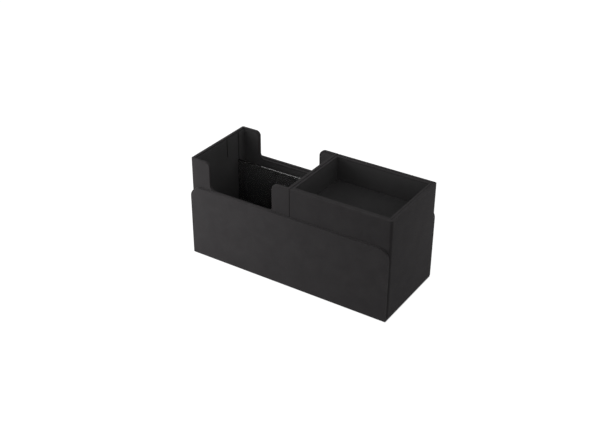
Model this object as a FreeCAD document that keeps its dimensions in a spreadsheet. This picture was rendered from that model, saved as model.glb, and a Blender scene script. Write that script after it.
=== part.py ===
import FreeCAD, Part
import math
import os
import re
import Sketcher

# Deck box with a drawer, standing in its own U-shaped cover.
# Frame: origin under the middle of the footprint, +X towards the drawer, -Y the front, +Z up.

# Driving sizes in millimetres
sizes = {
    # the box over its skins
    "box_length": 220.0,
    "box_width": 86.2,
    "box_height": 102.1,
    "corner_radius": 2.2,
    "corner_web": 0.25,
    # the laminate: outer skin, greyboard, inner lining
    "wrap": 0.7,
    "board": 1.6,
    "lining": 0.6,
    "turn_in": 1.6,
    # the U-shaped cover
    "slip_gap": 0.2,
    "cover_height": 76.0,
    "cover_radius": 11.0,
    "cover_inset": 0.7,
    "fold_radius": 1.6,
    # the card well and its finger notches
    "well_length": 113.8,
    "end_tab": 22.5,
    "middle_tab": 19.6,
    "tab_radius": 7.0,
    "notch_height": 72.3,
    "notch_radius": 8.0,
    # the end facings and the sheet that stands in their grooves
    "facing": 2.0,
    "groove_depth": 1.2,
    "groove_play": 0.2,
    "divider_sheet": 2.0,
    "divider_height": 67.2,
    "token_slot": 10.2,
    "slit_step": 18.5,
    "slit_width": 1.4,
    "slit_depth": 1.2,
    "slit_length": 19.5,
    # the drawer
    "drawer_gap": 0.4,
    "lip_gap": 0.4,
    # the lift-out tray in the drawer
    "tray_gap": 0.3,
    "tray_drop": 0.3,
    "tray_depth": 25.6,
    "tray_board": 1.7,
    "tray_skin": 0.7,
    "ledge_width": 4.0,
    "ledge_height": 3.0,
    # the discs that hold the drawer shut
    "magnet_diameter": 10.0,
    "magnet_thickness": 1.2,
    "magnet_spread": 44.0,
    "magnet_height": 52.0,
}

# Places worked out from the sizes; one may use another
places = {
    "wall": "wrap + board + lining",
    "corner": "min(corner_radius; wrap + board - corner_web)",
    "fold": "min(fold_radius; 3 * wrap)",
    "left": "-box_length / 2",
    "right": "box_length / 2",
    "front": "-box_width / 2",
    "back": "box_width / 2",
    # faces of the cover, which is a little shorter than the box
    "cover_left": "left + cover_inset",
    "cover_right": "right - cover_inset",
    "cover_front": "front - slip_gap - wall",
    "cover_back": "back + slip_gap + wall",
    # the box stands on the cover's lining, its walls on its own base
    "box_foot": "wall",
    "deck": "box_foot + wall",
    "rim": "box_foot + box_height",
    "seam": "left + well_length",
    # inner faces of the boards of the long walls
    "front_core": "front + wrap + board",
    "back_core": "back - wrap - board",
    # inner faces of the well's end boards and of their facings
    "end_core": "left + wrap + board",
    "partition_core": "seam - wrap - board",
    "end_face": "end_core + facing",
    "partition_face": "partition_core - facing",
    "well_floor": "deck + lining",
    "lining_top": "rim - turn_in",
    # the finger notch
    "notch_left": "left + end_tab",
    "notch_right": "seam - middle_tab",
    "notch_floor": "box_foot + notch_height",
    # the divider
    "divider_back": "back - wall - token_slot",
    "divider_front": "divider_back - divider_sheet",
    # the drawer; its end panel hangs in front of the base
    "drawer_left": "seam + drawer_gap",
    "inner_core": "drawer_left + wrap + board",
    "panel_core": "right - wrap - board",
    "base_right": "right - wall - drawer_gap",
    "lip_foot": "box_foot + lip_gap",
    "drawer_floor": "deck + wall",
    # the tray stands on the drawer's lower inner wall and fits between its other three
    "tray_left": "drawer_left",
    "tray_right": "right - wall - tray_gap",
    "tray_front": "front + wall + tray_gap",
    "tray_back": "back - wall - tray_gap",
    "tray_rim": "rim - tray_drop",
    "tray_floor": "rim - tray_depth",
    "tray_foot": "tray_floor - tray_skin - tray_board",
    "inner_top": "tray_foot",
    "magnet_level": "box_foot + magnet_height",
}

doc = FreeCAD.newDocument("deck_box")
sheet = doc.addObject("Spreadsheet::Sheet", "Sizes")
for row, (alias, size) in enumerate(sizes.items(), start=1):
    sheet.set(f"A{row}", alias)
    sheet.set(f"B{row}", str(size))
    sheet.setAlias(f"B{row}", alias)
doc.recompute()

pieces = []
word = re.compile(r"[a-z][a-z_]*")


def formula(text):
    # plain words become cells of the sheet or the places made from them
    def swap(match):
        name = match.group()
        if name in sizes:
            return "Sizes." + name
        if name in places:
            return "(" + formula(places[name]) + ")"
        return name
    return word.sub(swap, text)


def value(text):
    return float(sheet.evalExpression(formula(text)))


def bind(thing, prop, text):
    thing.setExpression(prop, formula(text))


def span(low_high):
    low, high = low_high
    return f"({high}) - ({low})"


def keep(thing):
    pieces.append(thing)
    return thing


# Plain plates and discs

def plate(name, x, y, z):
    box = doc.addObject("Part::Box", name)
    for prop, reach in (("Length", x), ("Width", y), ("Height", z)):
        bind(box, prop, span(reach))
    for axis, reach in (("x", x), ("y", y), ("z", z)):
        bind(box, "Placement.Base." + axis, reach[0])
    return box


def magnets(name, face):
    # two discs on edge, their left faces in the plane x = face
    discs = []
    for side, sign in (("front", "-"), ("back", "")):
        disc = doc.addObject("Part::Cylinder", f"{name}_{side}")
        disc.Placement.Rotation = FreeCAD.Rotation(FreeCAD.Vector(0, 1, 0), 90)
        bind(disc, "Radius", "magnet_diameter / 2")
        bind(disc, "Height", "magnet_thickness")
        bind(disc, "Placement.Base.x", face)
        bind(disc, "Placement.Base.y", f"{sign}magnet_spread / 2")
        bind(disc, "Placement.Base.z", "magnet_level")
        discs.append(disc)
    group = doc.addObject("Part::Compound", name)
    group.Links = discs
    return group


def cut(name, base, tool):
    result = doc.addObject("Part::Cut", name)
    result.Base = base
    result.Tool = tool
    return result


def fuse(name, shapes):
    result = doc.addObject("Part::MultiFuse", name)
    result.Shapes = shapes
    return result


# Bodies padded from outlines whose runs are level or upright

def origin_plane(body, role):
    return next(part for part in body.Origin.OriginFeatures if part.Role == role)


def add_loop(sketch, home, corners):
    # corners are (across, up, radius or None), anticlockwise, and home is the sketch's own origin
    points = []
    for across, up, _ in corners:
        x = value(across) - value(home[0])
        y = value(up) - value(home[1])
        points.append(FreeCAD.Vector(x, y, 0))
    count = len(corners)
    steps = []
    for i in range(count):
        step = points[(i + 1) % count] - points[i]
        steps.append(step.normalize())
    radii = [value(radius) if radius else 0 for _, _, radius in corners]
    first = sketch.GeometryCount
    for i in range(count):
        after = (i + 1) % count
        start = points[i] + steps[i] * radii[i]
        end = points[after] - steps[i] * radii[after]
        line = sketch.addGeometry(Part.LineSegment(start, end), False)
        place_line(sketch, line, home, corners[i], abs(steps[i].x) > abs(steps[i].y))
    for i in range(count):
        arriving = first + (i - 1) % count
        leaving = first + i
        if radii[i] == 0:
            sketch.addConstraint(Sketcher.Constraint("Coincident", arriving, 2, leaving, 1))
        else:
            turn = steps[i - 1].cross(steps[i]).z
            middle = points[i] - steps[i - 1] * radii[i] + steps[i] * radii[i]
            round_corner(sketch, arriving, leaving, points[i], middle, turn, corners[i][2])


def place_line(sketch, line, home, corner, level):
    # a level line is held by its height, an upright one by its distance across
    across, up, _ = corner
    own, origin, axis = (up, home[1], "Y") if level else (across, home[0], "X")
    sketch.addConstraint(Sketcher.Constraint("Horizontal" if level else "Vertical", line))
    if own == origin:
        axis_line = -1 if level else -2
        sketch.addConstraint(Sketcher.Constraint("PointOnObject", line, 1, axis_line))
        return
    away = f"({own}) - ({origin})"
    held = sketch.addConstraint(Sketcher.Constraint("Distance" + axis, -1, 1, line, 1, value(away)))
    bind(sketch, f"Constraints[{held}]", away)


def round_corner(sketch, arriving, leaving, corner, middle, turn, radius):
    size = value(radius)
    spread = corner - middle
    aim = math.atan2(spread.y, spread.x)
    circle = Part.Circle(middle, FreeCAD.Vector(0, 0, 1), size)
    arc = sketch.addGeometry(Part.ArcOfCircle(circle, aim - math.pi / 4, aim + math.pi / 4), False)
    near, far = (1, 2) if turn > 0 else (2, 1)
    sketch.addConstraint(Sketcher.Constraint("Tangent", arriving, 2, arc, near))
    sketch.addConstraint(Sketcher.Constraint("Tangent", arc, far, leaving, 1))
    held = sketch.addConstraint(Sketcher.Constraint("Radius", arc, size))
    bind(sketch, f"Constraints[{held}]", radius)


def new_body(name, x, y, z):
    body = doc.addObject("PartDesign::Body", name)
    for axis, text in (("x", x), ("y", y), ("z", z)):
        bind(body, "Placement.Base." + axis, text)
    return body


def add_pad(body, name, role, home, loops, depth, reversed_pad=False):
    sketch = body.newObject("Sketcher::SketchObject", name + "_outline")
    sketch.AttachmentSupport = (origin_plane(body, role), [""])
    sketch.MapMode = "FlatFace"
    for corners in loops:
        add_loop(sketch, home, corners)
    doc.recompute()
    pad = body.newObject("PartDesign::Pad", name + "_pad")
    pad.Profile = sketch
    bind(pad, "Length", depth)
    pad.Reversed = reversed_pad
    doc.recompute()
    return pad


def plan_panel(name, loops, z):
    # an outline seen from above, its first corner the front left one
    home = loops[0][0]
    body = new_body(name, home[0], home[1], z[0])
    add_pad(body, name, "XY_Plane", home, loops, span(z))
    return body


def wall_panel(name, corners, y):
    # an outline seen from the front, its first corner the lower left one; it is padded forwards
    home = corners[0]
    body = new_body(name, home[0], y[1], home[1])
    add_pad(body, name, "XZ_Plane", home, [corners], span(y))
    return body


def channel(name, corners, x):
    # a profile seen along the box, its first corner the lower front one
    home = corners[0]
    body = new_body(name, x[0], home[0], home[1])
    add_pad(body, name, "YZ_Plane", home, [corners], span(x))
    return body


def rectangle(x, y, left_radius=None, right_radius=None):
    return [
        (x[0], y[0], left_radius),
        (x[1], y[0], right_radius),
        (x[1], y[1], right_radius),
        (x[0], y[1], left_radius),
    ]


def round_top_corners(body, radius):
    # the upright ends of a channel's two walls
    top = body.Shape.BoundBox.ZMax
    names = []
    for number, edge in enumerate(body.Tip.Shape.Edges, start=1):
        heights = [vertex.Z + body.Placement.Base.z for vertex in edge.Vertexes]
        along = abs(edge.Vertexes[0].Y - edge.Vertexes[-1].Y)
        if min(heights) > top - 0.001 and along > 0.001:
            names.append(f"Edge{number}")
    rounding = body.newObject("PartDesign::Fillet", body.Name + "_rounding")
    rounding.Base = (body.Tip.BaseFeature or body.Group[-2], names)
    bind(rounding, "Radius", radius)
    doc.recompute()


# The cover: one flat panel and two long walls, open at both ends

def cover_wall(name, y):
    ends = ("cover_left + wrap", "cover_right - wrap")
    foot = "wrap + board"
    top = "cover_height - wrap"
    radius = "cover_radius - wrap"
    corners = [
        (ends[0], foot, None),
        (ends[1], foot, None),
        (ends[1], top, radius),
        (ends[0], top, radius),
    ]
    return keep(wall_panel(name, corners, y))


def u_profile(front, back, foot, top, side, floor, fold=None):
    return [
        (front, foot, fold),
        (back, foot, fold),
        (back, top, None),
        (f"{back} - {side}", top, None),
        (f"{back} - {side}", floor, None),
        (f"{front} + {side}", floor, None),
        (f"{front} + {side}", top, None),
        (front, top, None),
    ]


def make_cover():
    skin_front = "cover_front + wrap"
    skin_back = "cover_back - wrap"
    core = [
        keep(plate("cover_base_board", ("cover_left + wrap", "cover_right - wrap"), (skin_front, skin_back),
                   ("wrap", "wrap + board"))),
        cover_wall("cover_front_board", (skin_front, skin_front + " + board")),
        cover_wall("cover_back_board", (skin_back + " - board", skin_back)),
    ]
    inside = u_profile("front - slip_gap - lining", "back + slip_gap + lining", "wrap + board",
                       "cover_height - turn_in", "lining", "wall")
    lined = channel("cover_lining", inside, ("cover_left + turn_in", "cover_right - turn_in"))
    round_top_corners(lined, "cover_radius - turn_in")
    core.append(keep(lined))
    outside = u_profile("cover_front", "cover_back", "0", "cover_height", "wall", "wall", "fold")
    form = channel("cover_form", outside, ("cover_left", "cover_right"))
    round_top_corners(form, "cover_radius")
    keep(cut("cover_wrap", form, fuse("cover_core", core)))


# The base that the well stands on and the drawer slides on

def make_base():
    board = keep(plan_panel(
        "box_base_board",
        [rectangle(("left + wrap", "base_right - wrap"), ("front + wrap", "back - wrap"), "corner - wrap")],
        ("box_foot + wrap", "box_foot + wrap + board")))
    form = plan_panel(
        "base_form",
        [rectangle(("left", "base_right"), ("front", "back"), "corner")],
        ("box_foot", "deck"))
    keep(cut("box_base_wrap", form, board))


# The card well

def notched(x, foot, top, set_back):
    # a long wall's outline; set_back is how far it stays inside the finished edges of the notch
    lower = f"notch_radius + {set_back}"
    upper = f"tab_radius - {set_back}"
    west = f"notch_left - {set_back}"
    east = f"notch_right + {set_back}"
    sill = f"notch_floor - {set_back}"
    return [
        (x[0], foot, None),
        (x[1], foot, None),
        (x[1], top, None),
        (east, top, upper),
        (east, sill, lower),
        (west, sill, lower),
        (west, top, upper),
        (x[0], top, None),
    ]


def notch_tool():
    # the air in both notches, with the flare that rounds the tabs
    clear = "rim + tab_radius"
    corners = [
        ("notch_left", "notch_floor", "notch_radius"),
        ("notch_right", "notch_floor", "notch_radius"),
        ("notch_right", "rim", "tab_radius"),
        ("notch_right + 2 * tab_radius", "rim", None),
        ("notch_right + 2 * tab_radius", clear, None),
        ("notch_left - 2 * tab_radius", clear, None),
        ("notch_left - 2 * tab_radius", "rim", None),
        ("notch_left", "rim", "tab_radius"),
    ]
    return wall_panel("notch_air", corners, ("front - wall", "back + wall"))


def end_facing(name, x, groove, extra=None):
    blank = plate(name + "_sheet", x, ("front + wall", "back - wall"), ("well_floor", "lining_top"))
    across = ("divider_front - groove_play", "divider_back + groove_play")
    grooves = [plate(name + "_groove", groove, across, ("well_floor", "lining_top"))]
    if extra:
        grooves.append(extra)
    return keep(cut(name, blank, fuse(name + "_cuts", grooves) if extra else grooves[0]))


def make_well():
    skins = ("front + wrap", "back - wrap")
    upright = ("deck", "rim - wrap")
    between = ("end_core", "partition_core")
    end = keep(plan_panel(
        "well_left_board",
        [rectangle(("left + wrap", "end_core"), skins, "corner - wrap")],
        upright))
    discs = keep(magnets("partition_magnets", "seam - wrap - magnet_thickness"))
    divider_wall = plate("partition_blank", ("partition_core", "seam - wrap"), skins, upright)
    partition = keep(cut("well_partition_board", divider_wall, discs))
    board_edge = notched(between, *upright, "wrap")
    lining_edge = notched(between, "well_floor", "lining_top", "turn_in")
    front_board = keep(wall_panel("well_front_board", board_edge, ("front + wrap", "front_core")))
    back_board = keep(wall_panel("well_back_board", board_edge, ("back_core", "back - wrap")))
    floor = keep(plate("well_floor_lining", between, ("front_core", "back_core"), ("deck", "well_floor")))
    front_lining = keep(wall_panel("well_front_lining", lining_edge, ("front_core", "front + wall")))
    back_lining = keep(wall_panel("well_back_lining", lining_edge, ("back - wall", "back_core")))
    slit_front = "divider_front - slit_step"
    slit = plate("well_left_slit", ("end_face - slit_depth", "end_face"),
                 (slit_front, slit_front + " + slit_width"), ("lining_top - slit_length", "lining_top"))
    left_facing = end_facing("well_left_facing", ("end_core", "end_face"),
                             ("end_face - groove_depth", "end_face"), slit)
    right_facing = end_facing("well_partition_facing", ("partition_face", "partition_core"),
                              ("partition_face", "partition_face + groove_depth"))
    ring = plan_panel(
        "well_ring",
        [rectangle(("left", "seam"), ("front", "back"), "corner"),
         rectangle(("left + wall", "seam - wall"), ("front + wall", "back - wall"))],
        ("deck", "rim"))
    core = fuse("well_core", [end, partition, discs, front_board, back_board, floor,
                              front_lining, back_lining, left_facing, right_facing])
    keep(cut("well_wrap", cut("well_form", ring, notch_tool()), core))


def make_divider():
    reach = "groove_depth - groove_play"
    keep(plate("slot_divider",
               (f"end_face - ({reach})", f"partition_face + {reach}"),
               ("divider_front", "divider_back"),
               ("well_floor", "well_floor + divider_height")))


# The drawer

def make_drawer():
    skins = ("front + wrap", "back - wrap")
    foot = "deck + wrap"
    top = "rim - wrap"
    between = ("inner_core", "panel_core")
    along = ("drawer_left + wrap", "panel_core")
    across = ("front_core", "back_core")
    panel = keep(plan_panel(
        "drawer_end_board",
        [rectangle(("panel_core", "right - wrap"), skins, None, "corner - wrap")],
        ("lip_foot + wrap", top)))
    discs = keep(magnets("drawer_magnets", "drawer_left + wrap"))
    blank = plate("drawer_inner_blank", ("drawer_left + wrap", "inner_core"), across,
                  (foot, "inner_top - wrap"))
    inner = keep(cut("drawer_inner_board", blank, discs))
    front_board = keep(plate("drawer_front_board", along, ("front + wrap", "front_core"), (foot, top)))
    back_board = keep(plate("drawer_back_board", along, ("back_core", "back - wrap"), (foot, top)))
    floor = keep(plate("drawer_floor_board", between, across, (foot, foot + " + board")))
    sheet_lining = keep(plate("drawer_floor_lining", between, across, (foot + " + board", "drawer_floor")))
    ring = plan_panel(
        "drawer_lining_ring",
        [rectangle(between, across),
         rectangle(("drawer_left + wall", "right - wall"), ("front + wall", "back - wall"))],
        ("drawer_floor", "lining_top"))
    strip = keep(cut("drawer_wall_lining", ring, gate("lining_gate", "inner_top - turn_in")))
    core = fuse("drawer_core", [panel, inner, discs, front_board, back_board, floor, sheet_lining, strip])
    form = cut("drawer_open_form", drawer_form(), gate("drawer_gate", "inner_top"))
    keep(cut("drawer_wrap", form, core))


def gate(name, sill):
    # the room above the inner wall, between the front and the back one
    return plate(name, ("drawer_left - wall", "drawer_left + wall"), ("front + wall", "back - wall"),
                 (sill, "rim + wall"))


def drawer_form():
    # four walls of one height, the floor between them, and the end panel's lip in front of the base
    walls = [rectangle(("drawer_left", "right"), ("front", "back"), None, "corner"),
             rectangle(("drawer_left + wall", "right - wall"), ("front + wall", "back - wall"))]
    body = plan_panel("drawer_form", walls, ("deck", "rim"))
    home = walls[0][0]
    add_pad(body, "drawer_form_floor", "XY_Plane", home,
            [rectangle(("drawer_left", "right - wall"), ("front", "back"))], "wall")
    add_pad(body, "drawer_form_lip", "XY_Plane", home,
            [rectangle(("right - wall", "right"), ("front", "back"), None, "corner")],
            "deck - lip_foot", True)
    return body


# The tray that lifts out of the drawer, and the ledges that carry it

def tub(name, inset, foot, floor, top):
    # walls and floor of one thickness, open at the top
    outer = rectangle((f"tray_left + {inset[0]}", f"tray_right - ({inset[0]})"),
                      (f"tray_front + {inset[0]}", f"tray_back - ({inset[0]})"))
    inner = rectangle((f"tray_left + {inset[1]}", f"tray_right - ({inset[1]})"),
                      (f"tray_front + {inset[1]}", f"tray_back - ({inset[1]})"))
    body = plan_panel(name, [outer, inner], (foot, top))
    add_pad(body, name + "_floor", "XY_Plane", outer[0], [outer], f"({floor}) - ({foot})")
    return body


def make_tray():
    inside = "(tray_board + tray_skin)"
    lined = tub("tray_lining", ("tray_board", inside), "tray_foot + tray_board", "tray_floor",
                "tray_rim - turn_in")
    form = tub("tray_form", ("0", inside), "tray_foot", "tray_floor", "tray_rim")
    keep(cut("tray_shell", form, lined))
    keep(lined)
    along = ("drawer_left + wall", "right - wall")
    level = ("tray_foot - ledge_height", "tray_foot")
    strips = [
        plate("front_ledge", along, ("front + wall", "front + wall + ledge_width"), level),
        plate("back_ledge", along, ("back - wall - ledge_width", "back - wall"), level),
    ]
    group = doc.addObject("Part::Compound", "tray_ledges")
    group.Links = strips
    keep(group)


def write_pieces():
    doc.recompute()
    for thing in doc.Objects:
        if "Invalid" in thing.State or "Error" in thing.State:
            raise RuntimeError(f"{thing.Label} did not build: {thing.State}")
    for piece in pieces:
        shape = piece.Shape
        if shape.isNull() or not shape.isValid() or not shape.Solids:
            raise RuntimeError(f"{piece.Label} is not a valid solid")
    os.makedirs("parts", exist_ok=True)
    for piece in pieces:
        piece.Shape.exportStep(f"parts/{piece.Label}.step")
        print(f"{piece.Label}: {len(piece.Shape.Solids)} solid(s), {piece.Shape.Volume:.1f} mm3")


make_cover()
make_base()
make_well()
make_divider()
make_drawer()
make_tray()
write_pieces()
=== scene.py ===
import bmesh
import bpy
import math
from mathutils import Matrix, Vector
from mathutils.bvhtree import BVHTree


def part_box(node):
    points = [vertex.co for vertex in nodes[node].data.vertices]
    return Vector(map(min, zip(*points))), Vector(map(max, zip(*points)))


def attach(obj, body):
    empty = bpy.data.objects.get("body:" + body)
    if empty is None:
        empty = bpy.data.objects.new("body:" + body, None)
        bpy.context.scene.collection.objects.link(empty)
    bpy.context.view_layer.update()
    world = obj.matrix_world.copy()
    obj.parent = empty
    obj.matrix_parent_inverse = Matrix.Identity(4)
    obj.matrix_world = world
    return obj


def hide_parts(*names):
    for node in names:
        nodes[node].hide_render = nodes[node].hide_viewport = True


# Deck box with a drawer, standing in its own cover. Metres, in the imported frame:
# +X towards the drawer, -Y the front, +Z up.

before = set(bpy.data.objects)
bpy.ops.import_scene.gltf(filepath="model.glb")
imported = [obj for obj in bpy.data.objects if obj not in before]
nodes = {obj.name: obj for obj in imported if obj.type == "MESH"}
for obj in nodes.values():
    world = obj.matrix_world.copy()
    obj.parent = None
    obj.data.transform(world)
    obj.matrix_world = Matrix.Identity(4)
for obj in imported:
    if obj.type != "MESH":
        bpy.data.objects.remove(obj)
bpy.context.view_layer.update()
scene = bpy.context.scene
mm = 0.001
print("frame loaded:", len(nodes), "nodes")


# Node trees

def addNode(tree, kind, inputs=None, **settings):
    # an input is either a plain value or another node's output
    node = tree.nodes.new(kind)
    for name, value in settings.items():
        setattr(node, name, value)
    for name, value in (inputs or {}).items():
        if isinstance(value, bpy.types.NodeSocket):
            tree.links.new(value, node.inputs[name])
        else:
            node.inputs[name].default_value = value
    return node


def addMath(tree, operation, first, second):
    return addNode(tree, "ShaderNodeMath", {0: first, 1: second}, operation=operation).outputs[0]


def addRange(tree, value, low, high, toLow=0.0, toHigh=1.0):
    inputs = {"Value": value, "From Min": low, "From Max": high, "To Min": toLow, "To Max": toHigh}
    return addNode(tree, "ShaderNodeMapRange", inputs).outputs["Result"]


def mixColour(tree, factor, first, second):
    # sockets 0, 6 and 7 are the factor and the two colours, output 2 the mixed colour
    return addNode(tree, "ShaderNodeMix", {0: factor, 6: first, 7: second}, data_type="RGBA").outputs[2]


def grey(level):
    return (level, level, level, 1.0)


def addBump(tree, finish, height):
    inputs = {"Strength": finish["bumpStrength"], "Distance": finish["bumpDepth"], "Height": height}
    return addNode(tree, "ShaderNodeBump", inputs).outputs["Normal"]


def newGroup(name, inputs, outputs):
    tree = bpy.data.node_groups.new(name, "ShaderNodeTree")
    for label, value in inputs.items():
        socket = tree.interface.new_socket(label, in_out="INPUT", socket_type="NodeSocketFloat")
        socket.default_value = value
    for label in outputs:
        tree.interface.new_socket(label, in_out="OUTPUT", socket_type="NodeSocketFloat")
    given = addNode(tree, "NodeGroupInput")
    coords = addNode(tree, "ShaderNodeTexCoord").outputs["Object"]
    shifted = addNode(tree, "ShaderNodeVectorMath", {0: coords, 1: given.outputs["Shift"]}, operation="ADD")
    return tree, given.outputs, shifted.outputs["Vector"]


def useGroup(tree, group, values):
    node = addNode(tree, "ShaderNodeGroup", node_tree=group)
    for name, value in values.items():
        node.inputs[name].default_value = value
    return node


# Effects that several finishes share

fibre = {"perCell": 2.3, "share": 0.6, "fleckLow": 0.35, "fleckHigh": 0.68}


def makeFineGrain():
    # short matted fibres over small soft cells
    tree, given, vector = newGroup("fineGrain", {"Shift": 0.0, "Cells": 1500.0}, ["Height", "Fleck"])
    cells = addNode(tree, "ShaderNodeTexVoronoi", {"Vector": vector, "Scale": given["Cells"]},
                    feature="SMOOTH_F1")
    fibreScale = addMath(tree, "MULTIPLY", given["Cells"], fibre["perCell"])
    fibres = addNode(tree, "ShaderNodeTexNoise",
                     {"Vector": vector, "Scale": fibreScale, "Detail": 3.0, "Roughness": 0.65})
    height = addNode(tree, "ShaderNodeMix",
                     {0: fibre["share"], 2: cells.outputs["Distance"], 3: fibres.outputs["Fac"]})
    fleck = addRange(tree, fibres.outputs["Fac"], fibre["fleckLow"], fibre["fleckHigh"])
    addNode(tree, "NodeGroupOutput", {"Height": height.outputs[0], "Fleck": fleck})
    return tree


def makeSlowMottle():
    # broad and small patches where the pile lies differently
    tree, given, vector = newGroup("slowMottle", {"Shift": 0.0, "Patches": 40.0, "Contrast": 0.2}, ["Mask"])
    broad = addNode(tree, "ShaderNodeTexNoise", {
        "Vector": vector, "Scale": given["Patches"], "Detail": 4.0, "Roughness": 0.55, "Distortion": 0.4})
    low = addMath(tree, "SUBTRACT", 0.5, given["Contrast"])
    high = addMath(tree, "ADD", 0.5, given["Contrast"])
    addNode(tree, "NodeGroupOutput", {"Mask": addRange(tree, broad.outputs["Fac"], low, high)})
    return tree


foldBreaks = {"low": 0.38, "high": 0.62, "least": 0.55}


def makePaintedEdgeShading():
    # folds carry a vertex attribute: above zero for painted shade on folds that don't face up (upright
    # corners, lower edges), below zero for a painted highlight on rims that face up
    tree, given, vector = newGroup("paintedEdgeShading", {"Shift": 0.0, "BreakScale": 90.0}, ["Mask"])
    edge = addNode(tree, "ShaderNodeAttribute", attribute_name="paintedEdgeShading")
    breaks = addNode(tree, "ShaderNodeTexNoise",
                     {"Vector": vector, "Scale": given["BreakScale"], "Detail": 5.0, "Roughness": 0.7})
    paintedFoldShading = addRange(tree, breaks.outputs["Fac"], foldBreaks["low"], foldBreaks["high"],
                       foldBreaks["least"])
    addNode(tree, "NodeGroupOutput", {"Mask": addMath(tree, "MULTIPLY", edge.outputs["Fac"], paintedFoldShading)})
    return tree


fineGrain = makeFineGrain()
slowMottle = makeSlowMottle()
paintedEdgeShading = makePaintedEdgeShading()


# Finishes

def newMaterial(name):
    material = bpy.data.materials.new(name)
    material.use_nodes = True
    tree = material.node_tree
    tree.nodes.clear()
    return material, tree


def lighter(colour, lift):
    return tuple(part * lift for part in colour[:3]) + (1.0,)


def finishWith(tree, inputs):
    shader = addNode(tree, "ShaderNodeBsdfPrincipled", inputs)
    addNode(tree, "ShaderNodeOutputMaterial", {"Surface": shader.outputs["BSDF"]})


skin = {
    "deep": (0.0370, 0.0348, 0.0360, 1.0),
    "pale": (0.0520, 0.0490, 0.0505, 1.0),
    # the next two colours are painted light: a darker painted shade for folds that don't face up, a lighter
    # painted highlight for rims that face up
    "paintedFoldShade": (0.0330, 0.0310, 0.0320, 1.0),
    "paintedRimLight": (0.0750, 0.0710, 0.0730, 1.0),
    "cells": 1500.0,
    "patches": 70.0,
    "contrast": 0.22,
    "bumpDepth": 0.25 * mm,
    "bumpStrength": 0.45,
    "grainHeights": (0.2, 0.8),
    "roughness": (0.92, 0.80),
    "polish": 0.08,
    "specular": 0.05,
    "sheen": 0.03,
    "sheenRoughness": 0.45,
}


def makeSkin(name, shift, lift=1.0):
    material, tree = newMaterial(name)
    grain = useGroup(tree, fineGrain, {"Shift": shift, "Cells": skin["cells"]})
    mottle = useGroup(tree, slowMottle, {
        "Shift": shift, "Patches": skin["patches"], "Contrast": skin["contrast"]})
    fold = useGroup(tree, paintedEdgeShading, {"Shift": shift})
    tone = addMath(tree, "MULTIPLY", mottle.outputs["Mask"], grain.outputs["Fleck"])
    plain = mixColour(tree, tone, lighter(skin["deep"], lift), lighter(skin["pale"], lift))
    # painted shade on the folds, then a painted highlight on the rims that face up
    paintedFoldShading = mixColour(tree, fold.outputs["Mask"], plain, lighter(skin["paintedFoldShade"], lift))
    rimLightMask = addMath(tree, "MULTIPLY", fold.outputs["Mask"], -1.0)
    colour = mixColour(tree, rimLightMask, paintedFoldShading, lighter(skin["paintedRimLight"], lift))
    rough = addRange(tree, grain.outputs["Height"], *skin["grainHeights"], *skin["roughness"])
    polish = addRange(tree, fold.outputs["Mask"], 0.0, 1.0, 0.0, skin["polish"])
    finishWith(tree, {
        "Base Color": colour,
        "Roughness": addMath(tree, "SUBTRACT", rough, polish),
        "Normal": addBump(tree, skin, grain.outputs["Height"]),
        "Specular IOR Level": skin["specular"],
        "Sheen Weight": skin["sheen"],
        "Sheen Roughness": skin["sheenRoughness"],
    })
    return material


suede = {
    "deep": (0.0516, 0.0506, 0.0512, 1.0),
    "pale": (0.0640, 0.0625, 0.0633, 1.0),
    "cells": 2100.0,
    "patches": 28.0,
    "contrast": 0.14,
    "bumpDepth": 0.3 * mm,
    "bumpStrength": 0.5,
    "roughness": (0.97, 0.90),
    "specular": 0.03,
    "sheen": 0.03,
    "sheenRoughness": 0.6,
}


def makeSuede(name, shift):
    material, tree = newMaterial(name)
    grain = useGroup(tree, fineGrain, {"Shift": shift, "Cells": suede["cells"]})
    strokes = useGroup(tree, slowMottle, {
        "Shift": shift, "Patches": suede["patches"], "Contrast": suede["contrast"]})
    tone = addMath(tree, "MULTIPLY", strokes.outputs["Mask"], grain.outputs["Fleck"])
    finishWith(tree, {
        "Base Color": mixColour(tree, tone, suede["deep"], suede["pale"]),
        "Roughness": addRange(tree, strokes.outputs["Mask"], 0.0, 1.0, *suede["roughness"]),
        "Normal": addBump(tree, suede, grain.outputs["Height"]),
        "Specular IOR Level": suede["specular"],
        "Sheen Weight": suede["sheen"],
        "Sheen Roughness": suede["sheenRoughness"],
    })
    return material


greyboard = {
    "deep": (0.165, 0.150, 0.130, 1.0),
    "pale": (0.270, 0.250, 0.220, 1.0),
    "shift": 3.1,
    "cells": 900.0,
    "patches": 120.0,
    "contrast": 0.25,
    "bumpDepth": 0.15 * mm,
    "bumpStrength": 0.4,
    "roughness": (0.95, 0.85),
}


def makeGreyboard():
    # pressed waste paper with pale flecks
    material, tree = newMaterial("greyboard")
    grain = useGroup(tree, fineGrain, {"Shift": greyboard["shift"], "Cells": greyboard["cells"]})
    patches = useGroup(tree, slowMottle, {
        "Shift": greyboard["shift"], "Patches": greyboard["patches"], "Contrast": greyboard["contrast"]})
    tone = addMath(tree, "MULTIPLY", patches.outputs["Mask"], grain.outputs["Fleck"])
    finishWith(tree, {
        "Base Color": mixColour(tree, tone, greyboard["deep"], greyboard["pale"]),
        "Roughness": addRange(tree, patches.outputs["Mask"], 0.0, 1.0, *greyboard["roughness"]),
        "Normal": addBump(tree, greyboard, grain.outputs["Height"]),
    })
    return material


magnetPlate = {
    "bright": (0.62, 0.61, 0.60, 1.0),
    "dull": (0.44, 0.43, 0.42, 1.0),
    "shift": 5.7,
    "patches": 260.0,
    "contrast": 0.2,
    "roughness": (0.22, 0.38),
}


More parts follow.
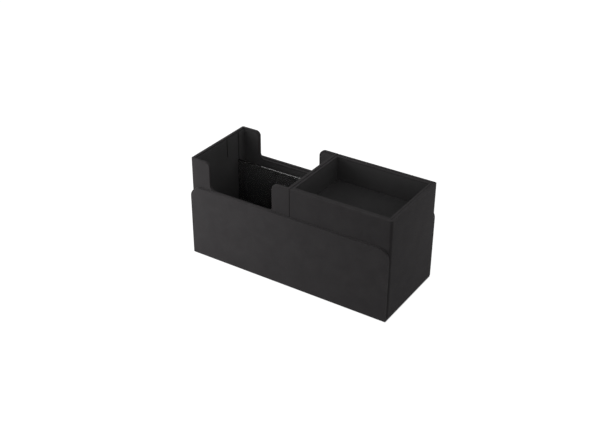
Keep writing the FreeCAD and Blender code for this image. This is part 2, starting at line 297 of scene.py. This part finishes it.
def makeMagnetPlate():
    # nickel plating, slightly clouded
    material, tree = newMaterial("magnetPlate")
    cloud = useGroup(tree, slowMottle, {
        "Shift": magnetPlate["shift"], "Patches": magnetPlate["patches"],
        "Contrast": magnetPlate["contrast"]})
    finishWith(tree, {
        "Base Color": mixColour(tree, cloud.outputs["Mask"], magnetPlate["bright"], magnetPlate["dull"]),
        "Roughness": addRange(tree, cloud.outputs["Mask"], 0.0, 1.0, *magnetPlate["roughness"]),
        "Metallic": 1.0,
    })
    return material


clearSheet = {
    "clean": 0.94,
    "hazed": 0.89,
    "shift": 8.3,
    "patches": 60.0,
    "contrast": 0.25,
    "roughness": (0.03, 0.09),
    "clearness": 0.99,
    "refraction": 1.49,
}


def makeClearSheet():
    # clear plastic with the faint haze of handling
    material, tree = newMaterial("clearSheet")
    haze = useGroup(tree, slowMottle, {
        "Shift": clearSheet["shift"], "Patches": clearSheet["patches"], "Contrast": clearSheet["contrast"]})
    colour = mixColour(tree, haze.outputs["Mask"], grey(clearSheet["clean"]), grey(clearSheet["hazed"]))
    finishWith(tree, {
        "Base Color": colour,
        "Roughness": addRange(tree, haze.outputs["Mask"], 0.0, 1.0, *clearSheet["roughness"]),
        "Transmission Weight": clearSheet["clearness"],
        "IOR": clearSheet["refraction"],
    })
    return material


coverSkin = makeSkin("coverSkin", shift=0.0, lift=1.13)
boxSkin = makeSkin("boxSkin", shift=1.3)
drawerSkin = makeSkin("drawerSkin", shift=2.6)
traySkin = makeSkin("traySkin", shift=4.2)
coverSuede = makeSuede("coverSuede", shift=0.7)
wellSuede = makeSuede("wellSuede", shift=1.9)
drawerSuede = makeSuede("drawerSuede", shift=2.2)
traySuede = makeSuede("traySuede", shift=3.4)
boardFinish = makeGreyboard()
magnetFinish = makeMagnetPlate()
clearFinish = makeClearSheet()
print("finishes made:", len(bpy.data.materials))


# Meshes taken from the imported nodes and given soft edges

sharpTurn = math.radians(30)
flatTurn = math.radians(1)
weld = 0.002 * mm
touching = 0.02 * mm
packedCorner = 2.05 * mm
seamSegments = 2
squareOut = 0.99
mostlyOut = 0.5
sideDepth = 1.0 * mm
# rims sloping up more than rimSlope get a painted highlight, strongest where they face back-left
rimSlope = 0.25
rimLightStrength = 0.6
rimLightFacing = Vector((-0.7, 0.7, 0.0))
footHeight = 12.0 * mm


def openMesh(data):
    mesh = bmesh.new()
    mesh.from_mesh(data)
    mesh.verts.layers.float.new("paintedEdgeShading")
    bmesh.ops.remove_doubles(mesh, verts=mesh.verts, dist=weld)
    return mesh


def cadMesh(node, neighbours=()):
    # faces that lie against a neighbour get material index 1, so that they stay apart from the open ones
    mesh = openMesh(nodes[node].data)
    for face in mesh.faces:
        face.material_index = 0
    if neighbours:
        joined = bmesh.new()
        for name in neighbours:
            joined.from_mesh(nodes[name].data)
        core = BVHTree.FromBMesh(joined)
        joined.free()
        for face in mesh.faces:
            distance = core.find_nearest(face.calc_center_median())[3]
            face.material_index = 1 if distance < touching else 0
    bmesh.ops.dissolve_limit(mesh, angle_limit=flatTurn, verts=mesh.verts, edges=mesh.edges,
                             delimit={"MATERIAL"})
    return mesh


def sharpEdges(mesh, hiddenSides):
    found = []
    for edge in mesh.edges:
        if len(edge.link_faces) == 2 and edge.is_convex and edge.calc_face_angle() > sharpTurn:
            if sum(face.material_index for face in edge.link_faces) == hiddenSides:
                found.append(edge)
    return found


def roundEdges(mesh, edges, radius, segments, paintedFoldShade):
    made = bmesh.ops.bevel(mesh, geom=edges, offset=radius, offset_type="OFFSET", segments=segments,
                           profile=0.5, affect="EDGES", clamp_overlap=True)
    strip = set(made["faces"])
    tone = mesh.verts.layers.float["paintedEdgeShading"]
    mesh.normal_update()
    for vert in made["verts"]:
        # folds that face up get a painted highlight, strongest towards the back-left; folds wholly in the
        # bevel strip that don't face up get painted shade
        if paintedFoldShade and vert.normal.z > rimSlope:
            vert[tone] = -rimLightStrength * (1.0 + vert.normal.dot(rimLightFacing))
        elif paintedFoldShade and all(face in strip for face in vert.link_faces):
            vert[tone] = 1.0


def addPiece(name, mesh, finish, body, node):
    for face in mesh.faces:
        face.smooth = True
    for edge in mesh.edges:
        edge.smooth = len(edge.link_faces) == 2 and edge.calc_face_angle() < sharpTurn
    data = bpy.data.meshes.new(name)
    mesh.to_mesh(data)
    mesh.free()
    data.materials.append(finish)
    piece = bpy.data.objects.new(name, data)
    scene.collection.objects.link(piece)
    shading = piece.modifiers.new("evenShading", "WEIGHTED_NORMAL")
    shading.keep_sharp = True
    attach(piece, body)
    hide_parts(node)


def longEdges(mesh, edges):
    # edges of the long outer sides
    reach = max(vert.co.y for vert in mesh.verts)

    def outside(face):
        return abs(face.normal.y) > squareOut and abs(face.calc_center_median().y) > reach - touching

    return [edge for edge in edges if any(outside(face) for face in edge.link_faces)]


def rimEdges(mesh, edges, end):
    # edges of the long sides, of the side at the end and of the corners between them,
    # less those at the foot and at the joint
    reach = max(vert.co.y for vert in mesh.verts)
    towards = math.copysign(1.0, end)
    joint = min(vert.co.x * towards for vert in mesh.verts)

    def outside(face):
        middle = face.calc_center_median()
        depth = min(reach - abs(middle.y), (end - middle.x) * towards)
        outward = max(face.normal.y * math.copysign(1.0, middle.y), face.normal.x * towards)
        return depth < sideDepth and outward > mostlyOut

    def wanted(edge):
        high = max(vert.co.z for vert in edge.verts) > footHeight
        free = max(vert.co.x * towards for vert in edge.verts) > joint + touching
        return high and free and any(outside(face) for face in edge.link_faces)

    return [edge for edge in edges if wanted(edge)]


def redrawArc(mesh, axes, corner, inward, packed, radius):
    # a corner's arc, moved from its packed radius to another; inward points from the corner into the part
    packedMiddle = corner + inward * packed
    middle = corner + inward * radius
    for vert in mesh.verts:
        arm = Vector([vert.co[axis] for axis in axes]) - packedMiddle
        beyond = all(part * side < touching for part, side in zip(arm, inward))
        if beyond and abs(arm.length - packed) < touching:
            for axis, place in zip(axes, middle + arm.normalized() * radius):
                vert.co[axis] = place


def redrawUprights(mesh, x, radii):
    # the upright corners at the end x
    reach = max(vert.co.y for vert in mesh.verts)
    inwardX = -math.copysign(1.0, x)
    for side, radius in zip((-1, 1), (radii["front"], radii["back"])):
        redrawArc(mesh, (0, 1), Vector((x, side * reach)), Vector((inwardX, -side)), packedCorner, radius)


def redrawNotch(mesh, notch):
    # the tabs' upper corners, and the notches' lower corners in each layer of the wall
    for side in ("end", "middle"):
        x = notch[side]["at"]
        inwardX = notch[side]["towardsTab"]
        redrawArc(mesh, (0, 2), Vector((x, notch["rim"])), Vector((inwardX, -1)),
                  notch["packedTab"], notch[side]["tab"])
        for setBack in notch["setBacks"]:
            corner = Vector((x + inwardX * setBack, notch["sill"] - setBack))
            redrawArc(mesh, (0, 2), corner, Vector((-inwardX, 1)),
                      notch["packedFoot"] + setBack, notch[side]["foot"] + setBack)


def addWrap(node, body, finish, neighbours, sizes, notch=None):
    # the folded skin: round where it turns over a board, a fine seam where it ends at a lining
    mesh = cadMesh(node, neighbours)
    if notch:
        redrawNotch(mesh, notch)
    if "cornerAt" in sizes:
        redrawUprights(mesh, sizes["cornerAt"], sizes["corners"])
        wide = rimEdges(mesh, sharpEdges(mesh, 0), sizes["cornerAt"])
    else:
        wide = longEdges(mesh, sharpEdges(mesh, 0))
    roundEdges(mesh, wide, sizes["outerFold"], sizes["segments"], True)
    roundEdges(mesh, sharpEdges(mesh, 0), sizes["fold"], sizes["segments"], True)
    roundEdges(mesh, sharpEdges(mesh, 1), sizes["seam"], seamSegments, False)
    for face in mesh.faces:
        face.material_index = 0
    addPiece(node + ".skin", mesh, finish, body, node)


softEdges = {
    "lining": {"radius": 0.2 * mm, "segments": 2},
    "board": {"radius": 0.1 * mm, "segments": 1},
    "facing": {"radius": 0.3 * mm, "segments": 3},
    "ledge": {"radius": 0.5 * mm, "segments": 3},
    "shell": {"radius": 0.15 * mm, "segments": 3},
}


def addSheet(node, body, finish, edge, notch=None):
    mesh = cadMesh(node)
    if notch:
        redrawNotch(mesh, notch)
    roundEdges(mesh, sharpEdges(mesh, 0), softEdges[edge]["radius"], softEdges[edge]["segments"], True)
    addPiece(node + ".soft", mesh, finish, body, node)


# The cover

coverSizes = {"outerFold": 1.9 * mm, "fold": 0.7 * mm, "seam": 0.06 * mm, "segments": 6}
coverCore = ["cover_base_board", "cover_front_board", "cover_back_board", "cover_lining"]
addWrap("cover_wrap", "cover", coverSkin, coverCore, coverSizes)
addSheet("cover_lining", "cover", coverSuede, "lining")
print("cover dressed")


# The card box

wellLow, wellHigh = (Vector(corner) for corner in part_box("well_wrap"))
boxSizes = {"outerFold": 0.4 * mm, "fold": 0.2 * mm, "seam": 0.06 * mm, "segments": 5,
            "cornerAt": wellLow.x, "corners": {"front": 3.0 * mm, "back": 1.5 * mm}}

# the set-backs are those of the lining, the board and the skin;
# the largest goes first, so that no arc moves twice
wellNotch = {
    "rim": wellHigh.z,
    "sill": wellHigh.z - 29.8 * mm,
    "end": {"at": wellLow.x + 22.5 * mm, "towardsTab": -1, "tab": 5.0 * mm, "foot": 6.0 * mm},
    "middle": {"at": wellHigh.x - 19.6 * mm, "towardsTab": 1, "tab": 6.2 * mm, "foot": 4.5 * mm},
    "packedTab": 7.0 * mm,
    "packedFoot": 8.0 * mm,
    "setBacks": (1.6 * mm, 0.7 * mm, 0.0),
}
wellCore = ["well_left_board", "well_front_board", "well_back_board", "well_partition_board",
            "partition_magnets", "well_floor_lining", "well_front_lining", "well_back_lining",
            "well_left_facing", "well_partition_facing"]
addWrap("well_wrap", "card_box", boxSkin, wellCore, boxSizes, wellNotch)
addWrap("box_base_wrap", "card_box", boxSkin, ["box_base_board"], boxSizes)
addSheet("well_floor_lining", "card_box", wellSuede, "lining")
for wallSide in ("front", "back"):
    addSheet(f"well_{wallSide}_board", "card_box", boardFinish, "board", wellNotch)
    addSheet(f"well_{wallSide}_lining", "card_box", wellSuede, "lining", wellNotch)
for facingNode in ("well_left_facing", "well_partition_facing"):
    addSheet(facingNode, "card_box", wellSuede, "facing")
print("card box dressed")


# The clear sheet in its grooves

divider = {"edge": 0.15 * mm, "segments": 3}


def addDivider():
    mesh = cadMesh("slot_divider")
    roundEdges(mesh, sharpEdges(mesh, 0), divider["edge"], divider["segments"], False)
    addPiece("slot_divider.sheet", mesh, clearFinish, "divider", "slot_divider")


addDivider()
print("divider dressed")


# The drawer

drawerHigh = Vector(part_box("drawer_wrap")[1])
drawerSizes = {"outerFold": 0.7 * mm, "fold": 0.2 * mm, "seam": 0.06 * mm, "segments": 5,
               "cornerAt": drawerHigh.x, "corners": {"front": 2.7 * mm, "back": packedCorner}}
drawerCore = ["drawer_end_board", "drawer_inner_board", "drawer_magnets", "drawer_front_board",
              "drawer_back_board", "drawer_floor_board", "drawer_floor_lining", "drawer_wall_lining"]
addWrap("drawer_wrap", "drawer", drawerSkin, drawerCore, drawerSizes)
addSheet("drawer_floor_lining", "drawer", drawerSuede, "lining")
addSheet("drawer_wall_lining", "drawer", drawerSuede, "lining")
addSheet("tray_ledges", "drawer", drawerSuede, "ledge")
print("drawer dressed")


# The tray

addSheet("tray_shell", "tray", traySkin, "shell")
addSheet("tray_lining", "tray", traySuede, "lining")
print("tray dressed")


# The magnets, plated discs standing on edge

magnet = {"edge": 0.15 * mm, "segments": 3, "sides": 64}


def makeDiscPair():
    # two discs along Y with their flat faces along X
    tree = bpy.data.node_groups.new("discPair", "GeometryNodeTree")
    kinds = {"Radius": "Float", "Thickness": "Float", "Spread": "Float", "Sides": "Int", "Middle": "Vector",
             "Finish": "Material"}
    for label, kind in kinds.items():
        tree.interface.new_socket(label, in_out="INPUT", socket_type="NodeSocket" + kind)
    tree.interface.new_socket("Geometry", in_out="OUTPUT", socket_type="NodeSocketGeometry")
    given = addNode(tree, "NodeGroupInput").outputs
    first = addNode(tree, "ShaderNodeCombineXYZ", {"Y": addMath(tree, "MULTIPLY", given["Spread"], -0.5)})
    step = addNode(tree, "ShaderNodeCombineXYZ", {"Y": given["Spread"]})
    row = addNode(tree, "GeometryNodeMeshLine", {
        "Count": 2, "Start Location": first.outputs[0], "Offset": step.outputs[0]})
    disc = addNode(tree, "GeometryNodeMeshCylinder", {
        "Vertices": given["Sides"], "Radius": given["Radius"], "Depth": given["Thickness"]})
    pair = addNode(tree, "GeometryNodeInstanceOnPoints", {
        "Points": row.outputs["Mesh"], "Instance": disc.outputs["Mesh"],
        "Rotation": (0.0, math.pi / 2, 0.0)})
    placed = addNode(tree, "GeometryNodeTransform", {
        "Geometry": pair.outputs["Instances"], "Translation": given["Middle"]})
    real = addNode(tree, "GeometryNodeRealizeInstances", {"Geometry": placed.outputs["Geometry"]})
    plated = addNode(tree, "GeometryNodeSetMaterial", {
        "Geometry": real.outputs["Geometry"], "Material": given["Finish"]})
    addNode(tree, "NodeGroupOutput", {"Geometry": plated.outputs["Geometry"]})
    return tree


def growMesh(tree, values):
    # runs the tree on an empty object and keeps what it makes
    holder = bpy.data.objects.new(tree.name, bpy.data.meshes.new(tree.name))
    scene.collection.objects.link(holder)
    grower = holder.modifiers.new(tree.name, "NODES")
    grower.node_group = tree
    for item in tree.interface.items_tree:
        if item.in_out == "INPUT":
            grower[item.identifier] = values[item.name]
    grown = holder.evaluated_get(bpy.context.evaluated_depsgraph_get())
    data = bpy.data.meshes.new_from_object(grown)
    bpy.data.objects.remove(holder)
    return data


def addMagnets(node, body):
    low, high = (Vector(corner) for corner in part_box(node))
    width = high.z - low.z
    data = growMesh(discPair, {
        "Radius": width / 2, "Thickness": high.x - low.x, "Spread": high.y - low.y - width,
        "Sides": magnet["sides"], "Middle": (low + high) / 2, "Finish": magnetFinish})
    mesh = openMesh(data)
    roundEdges(mesh, sharpEdges(mesh, 0), magnet["edge"], magnet["segments"], False)
    addPiece(node + ".discs", mesh, magnetFinish, body, node)


discPair = makeDiscPair()
addMagnets("partition_magnets", "card_box")
addMagnets("drawer_magnets", "drawer")
print("magnets set")


# The boards inside stay as packed

for node in nodes.values():
    node.data.materials.clear()
    node.data.materials.append(boardFinish)


# The stage: white to the camera, pale to the light

stage = {
    "halfWidth": 4.0,
    "drop": 0.3 * mm,
    "deep": 0.26,
    "pale": 0.28,
    "patches": 6.0,
    "contrast": 0.4,
    "glow": 0.95,
    # the contact values shape a painted contact shadow in the floor's glow
    "contactReach": 1.0 * mm,
    "shadowLeanToLamps": (-0.80, -0.55, 0.24),
    "contactDark": 0.50,
    "contactOpen": 0.82,
    "contactSamples": 16,
}

skySides = {
    "front": {"towards": (-0.25, -0.96, 0.14), "strength": 0.565},
    "right": {"towards": (0.96, 0.25, 0.14), "strength": 0.608},
    "backLeft": {"towards": (-0.70, 0.70, 0.14), "strength": 0.29},
}


def seenDirectly(tree):
    # camera, mirror and glass rays get the white background
    path = addNode(tree, "ShaderNodeLightPath").outputs
    first = addMath(tree, "MAXIMUM", path["Is Camera Ray"], path["Is Glossy Ray"])
    return addMath(tree, "MAXIMUM", first, path["Is Transmission Ray"])


def makePaleFloor():
    material, tree = newMaterial("paleFloor")
    grain = useGroup(tree, slowMottle, {"Patches": stage["patches"], "Contrast": stage["contrast"]})
    colour = mixColour(tree, grain.outputs["Mask"], grey(stage["deep"]), grey(stage["pale"]))
    matte = addNode(tree, "ShaderNodeBsdfDiffuse", {"Color": colour})
    # the glow that the camera sees is darkened by ambient occlusion leaning towards the left front lamps: a
    # painted contact shadow, darkest along the right and back of the foot and faint in front
    side = addNode(tree, "ShaderNodeCombineXYZ", dict(zip("XYZ", stage["shadowLeanToLamps"])))
    paintedShadowAO = addNode(tree, "ShaderNodeAmbientOcclusion", {
        "Distance": stage["contactReach"], "Normal": side.outputs[0]}, samples=stage["contactSamples"])
    lit = addRange(tree, paintedShadowAO.outputs["AO"], stage["contactDark"], stage["contactOpen"],
                   0.0, stage["glow"])
    strength = addMath(tree, "MULTIPLY", seenDirectly(tree), lit)
    glow = addNode(tree, "ShaderNodeEmission", {"Strength": strength})
    both = addNode(tree, "ShaderNodeAddShader", {0: matte.outputs[0], 1: glow.outputs[0]})
    addNode(tree, "ShaderNodeOutputMaterial", {"Surface": both.outputs[0]})
    return material


def makeFloor():
    mesh = bmesh.new()
    bmesh.ops.create_grid(mesh, x_segments=1, y_segments=1, size=stage["halfWidth"],
                          matrix=Matrix.Translation((0, 0, -stage["drop"])))
    data = bpy.data.meshes.new("studioFloor")
    mesh.to_mesh(data)
    mesh.free()
    data.materials.append(makePaleFloor())
    floor = bpy.data.objects.new("studioFloor", data)
    scene.collection.objects.link(floor)


def makeWorld():
    world = bpy.data.worlds.new("studioAir")
    world.use_nodes = True
    tree = world.node_tree
    tree.nodes.clear()
    direction = addNode(tree, "ShaderNodeTexCoord").outputs["Generated"]
    ambient = 0.0
    for side in skySides.values():
        turned = addNode(tree, "ShaderNodeVectorMath", {0: direction, 1: side["towards"]},
                         operation="DOT_PRODUCT")
        lobe = addRange(tree, turned.outputs["Value"], 0.0, 1.0, 0.0, side["strength"])
        ambient = addMath(tree, "ADD", ambient, lobe)
    strength = addMath(tree, "MAXIMUM", ambient, seenDirectly(tree))
    air = addNode(tree, "ShaderNodeBackground", {"Color": (1.0, 1.0, 1.0, 1.0), "Strength": strength})
    addNode(tree, "ShaderNodeOutputWorld", {"Surface": air.outputs[0]})
    scene.world = world


lamps = {
    "softboxLeft": {"at": (-0.25, -0.26, 0.185), "aim": (-0.09, -0.04, 0.06), "size": 0.20, "watts": 0.40},
    "softboxLow": {"at": (-0.28, -0.24, 0.08), "aim": (-0.10, -0.04, 0.05), "size": 0.14, "watts": 0.39},
    "kickerRight": {"at": (0.22, 0.12, 0.095), "aim": (0.11, 0.03, 0.08), "size": 0.06, "watts": 0.058},
}


def makeLamps():
    for name, lamp in lamps.items():
        light = bpy.data.lights.new(name, "AREA")
        light.shape = "SQUARE"
        light.size = lamp["size"]
        light.energy = lamp["watts"]
        holder = bpy.data.objects.new(name, light)
        place = Vector(lamp["at"])
        holder.location = place
        holder.rotation_euler = (Vector(lamp["aim"]) - place).to_track_quat("-Z", "Y").to_euler()
        holder.visible_camera = False
        scene.collection.objects.link(holder)


makeFloor()
makeWorld()
makeLamps()
print("stage lit")


# The camera, as the photograph was taken

camera = {
    "at": (0.437756, -0.698388, 0.537588),
    "right": (0.83684, 0.54745, 0.00213),
    "up": (-0.27932, 0.42361, 0.86170),
    "lens": 60.375,
    "sensor": 36.0,
}


def makeCamera():
    data = bpy.data.cameras.new("photoCamera")
    data.lens = camera["lens"]
    data.sensor_width = camera["sensor"]
    holder = bpy.data.objects.new("photoCamera", data)
    right = Vector(camera["right"])
    up = Vector(camera["up"])
    turn = Matrix((right, up, right.cross(up))).transposed()
    holder.matrix_world = Matrix.Translation(camera["at"]) @ turn.to_4x4()
    scene.collection.objects.link(holder)
    scene.camera = holder


makeCamera()
scene.view_settings.view_transform = "Standard"

print("scene ready")
